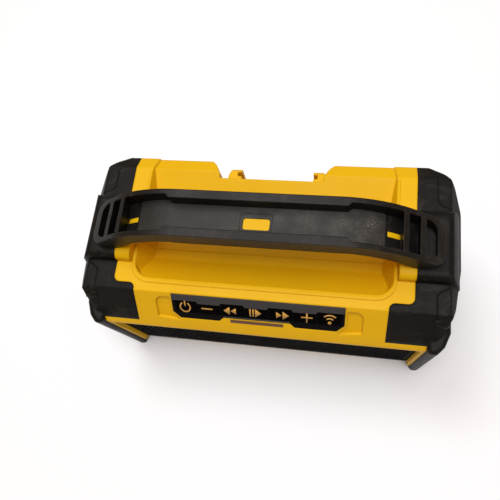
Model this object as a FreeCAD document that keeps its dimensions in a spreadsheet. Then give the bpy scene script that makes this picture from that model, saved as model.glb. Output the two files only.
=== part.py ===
import FreeCAD, Part
import math
import os
import re

import Sketcher

# Compact cordless jobsite radio: a moulded yellow housing in two halves, black rubber
# end bumpers that are also its feet, a fixed arched handle with a tray in its top, a
# seven-key panel on the front slope and a battery bay with slide rails at the rear.
# Millimetres. X runs to the right, Y to the rear, Z up. The origin is on the surface
# that the radio stands on, under the middle of its box.

doc = FreeCAD.newDocument("jobsite_radio")
SIZES = {
    # Housing: overall size and the steps of its side profile
    "housing_half_width": 125.5, "base_height": 8, "top_height": 110, "front_reach": 61.5,
    "rear_reach": 56.4, "lip_drop": 24, "lip_top_drop": 19, "lip_setback": 3.5,
    "slope_setback": 18.5, "rear_chamfer_run": 9.8, "rear_chamfer_drop": 5, "split_reach": 8,
    "housing_wall": 3, "shoulder_drop": 10, "shoulder_inset": 7.5, "end_round": 16,
    # End bumpers and the line where they meet the housing
    "bumper_wall": 3, "bumper_length": 28.5, "bumper_front_length": 43.5, "seam_step": 5,
    "seam_round": 4, "guard_width": 18, "guard_proud": 2.5, "guard_rise": 2, "guard_round": 3,
    "rear_foot_height": 40,
    # Pedestals that carry the handle
    "pedestal_rise": 7.5, "pedestal_inner": 86.7, "pedestal_front": 24, "pedestal_rear": 22,
    "pedestal_round": 5,
    # Finger scoop under the handle
    "scoop_half_width": 84.2, "scoop_front": 33.7, "scoop_depth": 18, "scoop_floor_front": 15,
    "scoop_floor_rear": 10, "scoop_rear_drop": 2, "scoop_corner_round": 11, "scoop_floor_round": 5,
    "scoop_draft": 6, "scoop_wall": 5,
    # Battery bay with its rails
    "bay_mouth_half_width": 40, "bay_half_width": 36, "bay_wall_reach": 42.5, "bay_flare": 3,
    "bay_floor_height": 20, "rail_inner": 27, "rail_proud": 7.6, "rail_top_height": 79,
    "rail_groove": 3.2, "rail_lip": 3, "rail_undercut": 3, "rail_chamfer": 2,
    # Inside of the housing and the speaker opening in its front
    "cavity_floor_height": 12, "front_rebate": 8.5, "rear_rebate": 6.4, "end_wall": 11,
    "frame_width": 2.5, "opening_low": 15, "opening_high": 83, "opening_round": 4,
    "grille_recess": 3, "grille_thickness": 1.5, "grille_fit": 0.2, "grille_pitch": 12,
    "grille_hole": 5, "grille_rim": 2.5, "baffle_thickness": 3,
    # Speaker drivers
    "driver_offset": 52, "driver_height": 48.5, "driver_flange_radius": 33,
    "driver_hole_radius": 31, "cone_radius": 24, "cone_gap": 0.4, "surround_width": 3.6,
    "magnet_radius": 20, "magnet_length": 12, "driver_depth": 22,
    # Handle
    "handle_rise": 33, "handle_tip_rise": 3.7, "handle_knee": 75, "handle_tip": 112.5,
    "handle_bend": 73, "handle_front": 17.7, "handle_rear": 12.5, "cover_thickness": 12.5,
    "core_thickness": 9.5, "core_inset": 2.6, "core_foot": 97, "core_bend": 30,
    "handle_end_round": 9, "rail_width": 5.6, "end_rail_width": 3.2, "tray_depth": 10.5,
    "tray_middle_half": 54, "tray_end": 107.3, "rib_one_inner": 96.3, "rib_one_outer": 99.8,
    "rib_two_inner": 86, "rib_two_outer": 89.2, "liner_thickness": 1, "liner_half": 76,
    "window_length": 18, "window_width": 10.6, "drain_inner": 77.5, "drain_width": 3.2,
    "grip_half": 54, "grip_wall": 1.8, "grip_chamfer": 2.5,
    # Key panel, measured down the slope from its top edge
    "panel_half_width": 56.4, "panel_start": 0.6, "panel_end": 20.5, "panel_corner": 5,
    "panel_depth": 5, "key_pitch": 15.6, "key_gap": 0.35, "key_top": 5.4, "key_low_top": 7.2,
    "key_bottom": 15.8, "key_travel": 0.8, "key_flange": 1, "key_proud": 0.5, "key_length": 4,
    "key_round": 0.4, "board_thickness": 1.2, "switch_clearance": 0.2, "switch_half": 3,
    "panel_recess_half_width": 67.5, "panel_recess_depth": 1.6, "panel_rim": 1.3,
    "lens_half_width": 17.4, "lens_start": 18.6, "lens_width": 2.4, "lens_depth": 2,
    "tongue_half_width": 22, "tongue_rise": 3,
    # Sockets behind a hinged rubber cover in the rear wall
    "port_centre": 68, "port_height": 46, "port_length": 34, "port_width": 22,
    "port_depth": 4, "port_plate_thickness": 2, "cover_leaf": 1.8, "port_gap": 0.35,
    "port_tab": 1.2, "jack_offset": 8, "aux_bore_radius": 1.8, "aux_body_radius": 4,
    "aux_length": 12, "dc_bore_radius": 2.8, "dc_pin_radius": 1, "dc_body_radius": 5,
    "dc_length": 11, "jack_floor": 1.5,
    # Fasteners and boards
    "screw_high_offset": 90.5, "screw_high_height": 97, "screw_low_offset": 60,
    "screw_low_height": 16, "screw_shank": 1.5, "screw_head": 2.8, "screw_head_length": 2.2,
    "screw_length": 16, "screw_gap": 0.2, "screw_seat": 4, "boss_radius": 5,
    "main_board_half": 34, "main_board_low": 24, "main_board_high": 80,
    "main_board_thickness": 1.6, "terminal_half": 16, "terminal_low": 24, "terminal_high": 48,
    "terminal_proud": 10.5, "blade_thickness": 0.8, "blade_pitch": 7, "blade_length": 16,
    "blade_seat": 10, "blade_count": 4,
}
# Heights and reaches that follow from the sizes above
WORKED = {
    "lip_height": "top_height - lip_drop", "lip_top_height": "top_height - lip_top_drop",
    "lip_reach": "front_reach - lip_setback", "slope_top_reach": "front_reach - slope_setback",
    "rear_flat_reach": "rear_reach - rear_chamfer_run",
    "rear_edge_height": "top_height - rear_chamfer_drop",
    "shoulder_height": "top_height - shoulder_drop",
    "seam_half_width": "housing_half_width - bumper_length",
    "seam_front_half_width": "housing_half_width - bumper_front_length",
    "seam_step_reach": "front_reach - slope_setback - seam_step",
    "frame_half_width": "housing_half_width - guard_width",
    "guard_reach": "front_reach + guard_proud",
    "guard_top_height": "top_height - lip_top_drop + guard_rise",
    "pedestal_height": "top_height + pedestal_rise",
    "pedestal_outer": "housing_half_width - shoulder_inset - 0.3",
    "scoop_floor_height": "top_height - scoop_depth",
    "scoop_rear_height": "top_height - scoop_rear_drop",
    "cavity_roof_height": "top_height - scoop_depth - scoop_wall",
    "cavity_front": "front_reach - front_rebate", "cavity_rear": "rear_reach - rear_rebate",
    "cavity_half_width": "housing_half_width - end_wall",
    "rail_reach": "rear_reach + rail_proud",
    "opening_half_width": "housing_half_width - guard_width - frame_width",
    "baffle_half_width": "housing_half_width - end_wall - 8",
    "handle_top_height": "top_height + pedestal_rise + handle_rise",
    "handle_tip_height": "top_height + pedestal_rise + handle_tip_rise",
    "core_top_height": "top_height + pedestal_rise + handle_rise - cover_thickness",
    "core_underside_height":
        "top_height + pedestal_rise + handle_rise - cover_thickness - core_thickness",
    "terminal_reach": "bay_wall_reach + terminal_proud",
}
sheet = doc.addObject("Spreadsheet::Sheet", "Sizes")
worked = doc.addObject("Spreadsheet::Sheet", "Worked")


def bound(expression):
    """The same formula with every size's name pointing into its sheet."""
    def pointed(word):
        name = word.group()
        if name in SIZES:
            return "Sizes." + name
        return "Worked." + name if name in WORKED else name
    return re.sub(r"[a-z_]+", pointed, str(expression))


for table, cells, lead in ((sheet, SIZES, ""), (worked, WORKED, "=")):
    for row, (alias, value) in enumerate(cells.items(), start=1):
        table.set("A%d" % row, alias.replace("_", " "))
        table.set("B%d" % row, lead + bound(value) if lead else str(value))
        table.setAlias("B%d" % row, alias)
    doc.recompute()

finished = []


def size(alias):
    """One size as a number."""
    return float((sheet if alias in SIZES else worked).get(alias))


def bind(feature, **values):
    """Bind properties; a double underscore stands for a dot."""
    for path, expression in values.items():
        feature.setExpression(path.replace("__", "."), bound(expression))
    return feature


def mirrored(points):
    """A closed outline from its right half, listed from bottom or front round to the top."""
    return points + [("-(%s)" % x, y) for x, y in reversed(points)]


def body(name):
    return doc.addObject("PartDesign::Body", name)


def sketch(owner, name, role, offset="0"):
    """A sketch on one of the body's own origin planes, lifted by an offset."""
    flat = owner.newObject("Sketcher::SketchObject", name)
    plane = [item for item in owner.Origin.OriginFeatures if item.Role == role][0]
    flat.AttachmentSupport = (plane, [""])
    flat.MapMode = "FlatFace"
    return bind(flat, AttachmentOffset__Base__z=offset)


def outline(flat, points):
    """Add a closed outline of straight lines with every corner tied to the sizes."""
    first = flat.GeometryCount
    count = len(points)
    start = [FreeCAD.Vector(math.cos(2 * math.pi * k / count), math.sin(2 * math.pi * k / count), 0)
             for k in range(count)]
    for k in range(count):
        flat.addGeometry(Part.LineSegment(start[k], start[(k + 1) % count]), False)
    for k in range(count):
        flat.addConstraint(Sketcher.Constraint("Coincident", first + k, 2, first + (k + 1) % count, 1))
    for k, (across, up) in enumerate(points):
        for kind, place, formula in (("DistanceX", start[k].x, across), ("DistanceY", start[k].y, up)):
            tie = flat.addConstraint(Sketcher.Constraint(kind, -1, 1, first + k, 1, place))
            flat.setExpression("Constraints[%d]" % tie, bound(formula))
    return flat


def rectangle(flat, left, right, low, high):
    return outline(flat, [(left, low), (right, low), (right, high), (left, high)])


def circle(flat, across, up, radius):
    """Add a circle with its centre and radius tied to the sizes."""
    ring = flat.addGeometry(Part.Circle(FreeCAD.Vector(1, 1, 0), FreeCAD.Vector(0, 0, 1), 1), False)
    ties = [Sketcher.Constraint("DistanceX", -1, 1, ring, 3, 1.0),
            Sketcher.Constraint("DistanceY", -1, 1, ring, 3, 1.0),
            Sketcher.Constraint("Radius", ring, 1.0)]
    for tie, formula in zip(ties, (across, up, radius)):
        flat.setExpression("Constraints[%d]" % flat.addConstraint(tie), bound(formula))
    return flat


def pad(owner, flat, length, symmetric=False, backwards=False):
    """Grow the sketch into a solid."""
    feature = owner.newObject("PartDesign::Pad", flat.Name + "_pad")
    feature.Profile = flat
    feature.SideType = "Symmetric" if symmetric else "One side"
    feature.Reversed = backwards
    return bind(feature, Length=length)


def pocket(owner, flat, length, symmetric=False, backwards=False):
    """Sink the sketch into the solid."""
    feature = owner.newObject("PartDesign::Pocket", flat.Name + "_pocket")
    feature.Profile = flat
    feature.SideType = "Symmetric" if symmetric else "One side"
    feature.Reversed = backwards
    return bind(feature, Length=length)


def revolve(owner, flat):
    """Turn the sketch about its own vertical axis."""
    feature = owner.newObject("PartDesign::Revolution", flat.Name + "_turned")
    feature.Profile = flat
    feature.ReferenceAxis = (flat, ["V_Axis"])
    feature.Angle = 360
    return feature


def edges_where(shape, test):
    """Names of the edges whose middle point and direction pass the test."""
    names = []
    for number, edge in enumerate(shape.Edges, start=1):
        middle = edge.CenterOfMass
        ends = [vertex.Point for vertex in edge.Vertexes]
        direction = (ends[-1] - ends[0]) if len(ends) > 1 else FreeCAD.Vector()
        if direction.Length > 0:
            direction.normalize()
        if test(middle, direction):
            names.append("Edge%d" % number)
    return names


def soften(owner, radius, test, kind="Fillet"):
    """Round or chamfer the edges of a body that pass the test."""
    doc.recompute()
    base = owner.Tip
    feature = owner.newObject("PartDesign::" + kind, "%s_%s" % (base.Name, kind.lower()))
    feature.Base = (base, edges_where(base.Shape, test))
    return bind(feature, **{"Radius" if kind == "Fillet" else "Size": radius})


def along(axis):
    """A test for edges that run along one axis."""
    return lambda middle, direction: abs(direction.dot(axis)) > 0.999


def joined(name, items):
    feature = doc.addObject("Part::MultiFuse", name)
    feature.Shapes = items
    return feature


def shared(name, items):
    feature = doc.addObject("Part::MultiCommon", name)
    feature.Shapes = items
    return feature


def cut(name, base, tool):
    feature = doc.addObject("Part::Cut", name)
    feature.Base = base
    feature.Tool = tool
    return feature


def block(name, left, right, front, rear, low, high):
    """A plain box between six faces."""
    feature = doc.addObject("Part::Box", name)
    bind(feature, Placement__Base__x=left, Placement__Base__y=front, Placement__Base__z=low)
    return bind(feature, Length="(%s) - (%s)" % (right, left), Width="(%s) - (%s)" % (rear, front),
                Height="(%s) - (%s)" % (high, low))


def rod(name, x, z, radius, front, rear):
    """A cylinder that runs from front to rear."""
    feature = doc.addObject("Part::Cylinder", name)
    feature.Placement.Rotation = FreeCAD.Rotation(FreeCAD.Vector(1, 0, 0), -90)
    bind(feature, Radius=radius, Height="(%s) - (%s)" % (rear, front))
    return bind(feature, Placement__Base__x=x, Placement__Base__y=front, Placement__Base__z=z)


def finish(label, feature):
    """Name a finished sub-part; the name is also its file's name."""
    feature.Label = label
    finished.append(feature)
    return feature


Y_AXIS = FreeCAD.Vector(0, 1, 0)
X_AXIS = FreeCAD.Vector(1, 0, 0)
Z_AXIS = FreeCAD.Vector(0, 0, 1)


def envelope(name, inset):
    """Outer form: side profile, plan outline and end profile, each padded, and what they share."""
    side = body(name + "_side")
    profile = [("-(front_reach - {i})", "base_height + {i}"),
               ("-(front_reach - {i})", "lip_height - {i} / 2"),
               ("-(lip_reach - {i})", "lip_top_height - {i} / 2"),
               ("-(slope_top_reach - {i} / 2)", "top_height - {i}"),
               ("rear_flat_reach - {i} / 2", "top_height - {i}"), ("rear_reach - {i}",
                                                                   "rear_edge_height - {i} / 2"),
               ("rear_reach - {i}", "base_height + {i}")]
    points = [(across.format(i=inset), up.format(i=inset)) for across, up in profile]
    pad(side, outline(sketch(side, name + "_side_view", "YZ_Plane"), points),
        "2 * (housing_half_width - %s)" % inset, symmetric=True)
    plan = body(name + "_plan")
    half = [("frame_half_width + 1 - {i}", "-(front_reach + 0.01)"),
            ("frame_half_width + 2 - {i}", "-(lip_reach + 0.5)"),
            ("housing_half_width - 8.5 - {i}", "-(lip_reach - 8)"),
            ("housing_half_width - 4.2 - {i}", "-(lip_reach - 19)"),
            ("housing_half_width - {i}", "-(lip_reach - 46)"), ("housing_half_width - {i}",
                                                                "rear_reach - 30"),
            ("housing_half_width - 5 - {i}", "rear_reach - 14 - {i} / 2"),
            ("housing_half_width - 11 - {i}", "rear_reach - 6 - {i}"),
            ("housing_half_width - 21", "rear_reach + 0.01")]
    points = mirrored([(across.format(i=inset), up.format(i=inset)) for across, up in half])
    pad(plan, outline(sketch(plan, name + "_plan_view", "XY_Plane"), points), "top_height + 10")
    reach = size("frame_half_width") + 5
    soften(plan, "end_round", lambda middle, direction: abs(direction.z) > 0.999 and abs(middle.x) > reach)
    end = body(name + "_end")
    half = [("housing_half_width - 5 - {i}", "0"), ("housing_half_width - {i}", "base_height + 18"),
            ("housing_half_width - {i}", "shoulder_height"),
            ("housing_half_width - shoulder_inset - {i}", "top_height"),
            ("housing_half_width - shoulder_inset - {i}", "top_height + 5")]
    points = mirrored([(across.format(i=inset), up) for across, up in half])
    pad(end, outline(sketch(end, name + "_end_view", "XZ_Plane"), points), "3 * rear_reach", symmetric=True)
    return shared(name, [side, plan, end])


def pedestal(name, side):
    """Round-edged block on one shoulder that carries a handle end."""
    owner = body(name)
    points = [("pedestal_inner", "top_height - 5"), ("pedestal_inner", "pedestal_height"),
              ("pedestal_outer", "pedestal_height"), ("pedestal_outer + 4", "top_height"),
              ("housing_half_width - 0.5", "shoulder_height - 1"),
              ("housing_half_width - 0.5", "shoulder_height - 8"),
              ("pedestal_outer - 4", "shoulder_height - 8")]
    points = [("%d * (%s)" % (side, across), up) for across, up in points]
    pad(owner, outline(sketch(owner, name + "_view", "XZ_Plane", "-(pedestal_rear)"), points),
        "pedestal_front + pedestal_rear")
    top = size("pedestal_height")
    inner_edge = size("pedestal_inner") + 1
    soften(owner, "pedestal_round",
           lambda middle, direction: middle.z > top - 0.1 and abs(middle.x) > inner_edge)
    return owner


def yellow_region():
    """Plan of what stays uncovered between the bumpers, with the front frame below the lip."""
    owner = body("seam_plan")
    points = mirrored([("seam_front_half_width", "-(2 * front_reach)"),
                       ("seam_front_half_width", "-seam_step_reach"),
                       ("seam_half_width", "-seam_step_reach"), ("seam_half_width", "2 * rear_reach")])
    pad(owner, outline(sketch(owner, "seam_view", "XY_Plane"), points), "2 * top_height")
    step = -size("seam_step_reach")
    soften(owner, "seam_round",
           lambda middle, direction: abs(direction.z) > 0.999 and abs(middle.y - step) < 0.1)
    frame = block("front_frame_region", "-frame_half_width", "frame_half_width", "-(front_reach + 1)",
                  "-(lip_reach - 1)", "0", "lip_top_height - 1.5")
    return joined("yellow_region", [owner, frame])


def scoop():
    """Well under the handle: steep at the front, flat floor, then a long rise to the rear."""
    owner = body("scoop")
    points = [("-scoop_front", "top_height + 20"), ("-scoop_front", "top_height - 1"),
              ("-scoop_floor_front", "scoop_floor_height"), ("scoop_floor_rear", "scoop_floor_height"),
              ("rear_flat_reach", "scoop_rear_height"), ("rear_reach + 1", "rear_edge_height - 2"),
              ("rear_reach + 1", "top_height + 20")]
    pad(owner, outline(sketch(owner, "scoop_view", "YZ_Plane"), points), "2 * scoop_half_width",
        symmetric=True)
    front = -size("scoop_front")
    soften(owner, "scoop_corner_round", lambda middle, direction: abs(direction.z) > 0.999
           and abs(middle.y - front) < 0.1)
    # The side walls lean outwards from the floor to the rim
    walls = sketch(owner, "scoop_walls_view", "XZ_Plane")
    for side in (-1, 1):
        lean = [("scoop_half_width - scoop_draft", "scoop_floor_height - 1"),
                ("scoop_half_width + 1", "scoop_floor_height - 1"),
                ("scoop_half_width + 1", "top_height"), ("scoop_half_width", "top_height")]
        outline(walls, [("%d * (%s)" % (side, across), up) for across, up in lean])
    pocket(owner, walls, "4 * rear_reach", symmetric=True)
    low = size("scoop_floor_height")
    soften(owner, "scoop_floor_round",
           lambda middle, direction: middle.z < low + 0.1 and abs(direction.x) > 0.99)
    return owner


def battery_bay():
    owner = body("battery_bay")
    points = mirrored([("bay_half_width", "bay_wall_reach"), ("bay_half_width", "bay_wall_reach + bay_flare"),
                       ("bay_mouth_half_width", "rear_reach - bay_flare"),
                       ("bay_mouth_half_width + bay_flare", "rear_reach"),
                       ("bay_mouth_half_width + bay_flare", "rear_reach + 10")])
    pad(owner, outline(sketch(owner, "bay_view", "XY_Plane", "bay_floor_height"), points), "top_height")
    return owner


def battery_rail(name, side):
    """Upright rail beside the bay's wall, with an undercut on its inner side for the battery's flange."""
    owner = body(name)
    points = [("bay_half_width + 1", "bay_wall_reach - 1"),
              ("bay_half_width + 1", "rail_reach - rail_chamfer - 4"), ("bay_half_width - 1.5", "rail_reach"),
              ("rail_inner", "rail_reach"), ("rail_inner", "rail_reach - rail_lip"),
              ("rail_inner + rail_undercut", "rail_reach - rail_lip"),
              ("rail_inner + rail_undercut", "rail_reach - rail_lip - rail_groove"),
              ("rail_inner", "rail_reach - rail_lip - rail_groove"), ("rail_inner", "bay_wall_reach - 1")]
    points = [("%d * (%s)" % (side, across), up) for across, up in points]
    pad(owner, outline(sketch(owner, name + "_view", "XY_Plane", "bay_floor_height - 1"), points),
        "rail_top_height - bay_floor_height + 1")
    high = size("rail_top_height")
    soften(owner, "rail_chamfer", lambda middle, direction: middle.z > high - 0.1 and abs(direction.x) > 0.99
           and middle.y > size("rail_reach") - 0.1, "Chamfer")
    return owner


def cavity():
    """Hollow inside of the housing, narrower behind the battery bay, with four screw bosses left."""
    owner = body("cavity_room")
    points = mirrored([("cavity_half_width - 8", "-cavity_front"),
                       ("cavity_half_width - 8", "-(cavity_front - 4)"),
                       ("cavity_half_width", "-(cavity_front - 14)"),
                       ("cavity_half_width", "cavity_rear - 20"), ("cavity_half_width - 14", "cavity_rear"),
                       ("bay_mouth_half_width + bay_flare + housing_wall", "cavity_rear"),
                       ("bay_half_width + housing_wall", "bay_wall_reach - housing_wall")])
    pad(owner, outline(sketch(owner, "cavity_view", "XY_Plane", "cavity_floor_height"), points),
        "cavity_roof_height - cavity_floor_height")
    bosses = [rod("boss_%d" % number, "%d * screw_low_offset" % side, "screw_low_height", "boss_radius",
                  "-(split_reach + screw_length + 8)", "rear_reach") for number, side in enumerate((-1, 1))]
    return cut("cavity", owner, joined("bosses", bosses))


def speaker_opening():
    owner = body("speaker_opening")
    flat = rectangle(sketch(owner, "opening_view", "XZ_Plane", "cavity_front - 1"),
                     "-opening_half_width", "opening_half_width", "opening_low", "opening_high")
    pad(owner, flat, "front_reach - cavity_front + 3")
    soften(owner, "opening_round", along(Y_AXIS))
    # The grille runs down past the bottom of the housing's front wall
    below = block("grille_run_out", "-opening_half_width", "opening_half_width", "-(front_reach + 2)",
                  "-(front_reach - grille_recess - grille_thickness)", "-1", "opening_low + opening_round")
    return joined("speaker_opening_whole", [owner, below])


def on_slope(feature):
    """Place a piece drawn in the panel's frame: x right, y down the slope's surface reversed, z out."""
    angle = "atan2(top_height - lip_top_height; lip_reach - slope_top_reach)"
    feature.Placement = FreeCAD.Placement(FreeCAD.Vector(), FreeCAD.Rotation(X_AXIS, 45))
    return bind(feature, Placement__Base__y="-slope_top_reach", Placement__Base__z="top_height",
                Placement__Rotation__Angle=angle)


def panel_outline(grow):
    """Right half of the panel from its lower middle: tongue notch, clipped corner, top edge."""
    low = "-(panel_end + %s)" % grow
    return [("tongue_half_width - (%s)" % grow, "-(panel_end - tongue_rise + %s)" % grow),
            ("tongue_half_width + tongue_rise - (%s)" % grow, low),
            ("panel_half_width - panel_corner + (%s) / 2" % grow, low),
            ("panel_half_width + %s" % grow, "-(panel_end - panel_corner + (%s) / 2)" % grow),
            ("panel_half_width + %s" % grow, "-(panel_start - %s)" % grow)]


def panel_void():
    """Deep seat of the key panel and the seat of the lens below it."""
    owner = body("panel_seat")
    pad(owner, outline(sketch(owner, "panel_seat_view", "XY_Plane", "-(panel_depth + key_length + 1)"),
                       mirrored(panel_outline("0"))), "panel_depth + key_length + 10")
    lens = body("lens_seat")
    pad(lens, rectangle(sketch(lens, "lens_seat_view", "XY_Plane", "-lens_depth"), "-lens_half_width",
                        "lens_half_width", "-(lens_start + lens_width)", "-lens_start"), "lens_depth + 5")
    return [on_slope(owner), on_slope(lens)]


def panel_shoulders():
    """Shallow recesses beside the panel; a narrow rim is left round the panel's ends."""
    items = []
    for number, side in enumerate((-1, 1)):
        owner = body("panel_recess_%d" % number)
        points = [("panel_half_width + panel_rim", "-4"), ("panel_recess_half_width - 3", "-4"),
                  ("panel_recess_half_width", "-7"), ("panel_recess_half_width", "-21"),
                  ("panel_half_width - panel_corner + panel_rim", "-(panel_end + panel_rim + 1)"),
                  ("panel_half_width - panel_corner + panel_rim", "-(panel_end + panel_rim)"),
                  ("panel_half_width + panel_rim", "-(panel_end - panel_corner)")]
        points = [("%d * (%s)" % (side, across), up) for across, up in points]
        flat = sketch(owner, "panel_recess_view_%d" % number, "XY_Plane", "-panel_recess_depth")
        pad(owner, outline(flat, points), "10")
        items.append(on_slope(owner))
    return items


def screw_voids():
    """Deep wells for the four case screws, each with a clearance hole and a pilot hole."""
    items = []
    for number, (side, level) in enumerate(((-1, "low"), (1, "low"), (-1, "high"), (1, "high"))):
        x = "%d * screw_%s_offset" % (side, level)
        z = "screw_%s_height" % level
        seat = "screw_head_length - split_reach + screw_seat"
        items.append(rod("screw_well_%d" % number, x, z, "screw_head + 3 * screw_gap",
                         seat + " - screw_head_length",
                         "rear_reach + 1"))
        items.append(rod("screw_hole_%d" % number, x, z, "screw_shank + screw_gap",
                         "-(split_reach + screw_length)", seat))
    return items


def housings(outer, region, inner):
    """The two housing halves, split across the bottom of the scoop."""
    visible = shared("housing_outside", [outer, region])
    solid = joined("housing_solid", [visible, inner, battery_rail("battery_rail_left", -1),
                                     battery_rail("battery_rail_right", 1)])
    rails = [battery_rail("rail_keep_left", -1), battery_rail("rail_keep_right", 1)]
    bay = cut("bay_room", battery_bay(), joined("rails_kept", rails))
    port = block("port_room", "port_centre - port_length / 2", "port_centre + port_length / 2",
                 "rear_reach - port_depth", "rear_reach + 5", "port_height - port_width / 2",
                 "port_height + port_width / 2")
    window = block("port_window", "port_centre - port_length / 2 + 3", "port_centre + port_length / 2 - 3",
                   "cavity_rear - 5", "rear_reach", "port_height - port_width / 2 + 3",
                   "port_height + port_width / 2 - 3")
    voids = [scoop(), bay, cavity(), speaker_opening(), port, window]
    voids += panel_void() + panel_shoulders() + screw_voids()
    whole = cut("housing_whole", solid, joined("housing_voids", voids))
    far = "2 * housing_half_width"
    ahead = block("front_half", "-" + far, far, "-" + far, "-split_reach", "-10", far)
    behind = block("rear_half", "-" + far, far, "-split_reach", far, "-10", far)
    finish("front_housing", shared("front_housing_solid", [whole, ahead]))
    finish("rear_housing", shared("rear_housing_solid", [whole, behind]))
    return solid


def guard(name, side):
    """Front corner guard: a column from the foot to the shoulder, proud of the front face."""
    owner = body(name)
    points = [("frame_half_width", "-(guard_reach - 14)"), ("frame_half_width", "-guard_reach"),
              ("frame_half_width + 6", "-guard_reach"), ("frame_half_width + 10.5", "-(guard_reach - 5)"),
              ("frame_half_width + 14", "-(guard_reach - 14)"), ("frame_half_width + 14",
                                                                 "-(guard_reach - 26)")]
    points = [("%d * (%s)" % (side, across), up) for across, up in points]
    pad(owner, outline(sketch(owner, name + "_view", "XY_Plane"), points), "guard_top_height")
    soften(owner, "guard_round", lambda middle, direction: abs(direction.z) > 0.999
           and -size("guard_reach") - 0.1 < middle.y < -size("guard_reach") + 15)
    high = size("guard_top_height")
    soften(owner, "guard_round", lambda middle, direction: middle.z > high - 0.1
           and middle.y < -size("guard_reach") + 8)
    return owner


def rear_foot(name, side):
    owner = body(name)
    points = [("seam_half_width + 1", "rear_reach - 16"), ("seam_half_width + 1", "rear_reach"),
              ("housing_half_width - 21", "rear_reach"), ("housing_half_width - 12.5", "rear_reach - 6"),
              ("housing_half_width - 8", "rear_reach - 14"), ("housing_half_width - 8", "rear_reach - 26")]
    points = [("%d * (%s)" % (side, across), up) for across, up in points]
    pad(owner, outline(sketch(owner, name + "_view", "XY_Plane"), points), "rear_foot_height")
    return owner


def bumpers(outer, housing_solid):
    """Rubber end caps: what of the outer form lies outside the housing, with the guards and feet."""
    pieces = [outer] + [guard("guard_%d" % k, side) for k, side in enumerate((-1, 1))]
    pieces += [rear_foot("rear_foot_%d" % k, side) for k, side in enumerate((-1, 1))]
    whole = cut("bumpers_whole", joined("bumpers_solid", pieces), housing_solid)
    far = "2 * housing_half_width"
    left = block("left_side", "-" + far, "-(seam_front_half_width - 5)", "-" + far, far, "-10", far)
    right = block("right_side", "seam_front_half_width - 5", far, "-" + far, far, "-10", far)
    finish("end_bumper_left", shared("bumper_left_solid", [whole, left]))
    finish("end_bumper_right", shared("bumper_right_solid", [whole, right]))


def handle_layer(name, drop, foot):
    """Arch between the flat top and the given drop below it, measured square to the surface."""
    owner = body(name)
    lean = "atan2(handle_top_height - handle_tip_height; handle_tip - handle_knee)"
    knee = "handle_knee - (%s) * tan((%s) / 2)" % (drop, lean)
    high = "handle_top_height - (%s)" % drop
    slant = "(handle_top_height - handle_tip_height) / (handle_tip - handle_knee)"
    foot_height = "%s - ((%s) - (%s)) * %s" % (high, foot, knee, slant)
    points = mirrored([(foot, "0"), (foot, foot_height), (knee, high)])
    pad(owner, outline(sketch(owner, name + "_view", "XZ_Plane"), points), "6 * handle_front", symmetric=True)
    doc.recompute()
    reach = owner.Shape.BoundBox.XMax
    soften(owner, "handle_bend - (%s)" % drop, lambda middle, direction: abs(direction.y) > 0.99
           and middle.z > 1 and abs(middle.x) < reach - 1)
    return owner


def handle_plan(name, inset):
    """Plan of the handle: straight sides and rounded ends."""
    owner = body(name)
    points = mirrored([("handle_tip - %s" % inset, "-(handle_front - %s)" % inset),
                       ("handle_tip - %s" % inset, "handle_rear - %s" % inset)])
    pad(owner, outline(sketch(owner, name + "_view", "XY_Plane", "pedestal_height"), points),
        "handle_top_height")
    soften(owner, "handle_end_round - %s" % inset, along(Z_AXIS))
    return owner


def tray_plan():
    """Plan of the tray: narrow in the middle, wider past the 45 degree steps, split by two ribs a side."""
    owner = body("tray_plan")
    step = "(rail_width - end_rail_width)"
    front = "-(handle_front - rail_width)"
    rear = "handle_rear - rail_width"
    points = mirrored([("tray_middle_half", front), ("tray_middle_half + " + step, "%s - %s" % (front, step)),
                       ("tray_end", "%s - %s" % (front, step)), ("tray_end", "%s + %s" % (rear, step)),
                       ("tray_middle_half + " + step, "%s + %s" % (rear, step)), ("tray_middle_half", rear)])
    pad(owner, outline(sketch(owner, "tray_view", "XY_Plane"), points), "2 * handle_top_height")
    end = size("tray_end") - 1
    soften(owner, "6", lambda middle, direction: abs(direction.z) > 0.99 and abs(middle.x) > end)
    return owner


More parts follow.
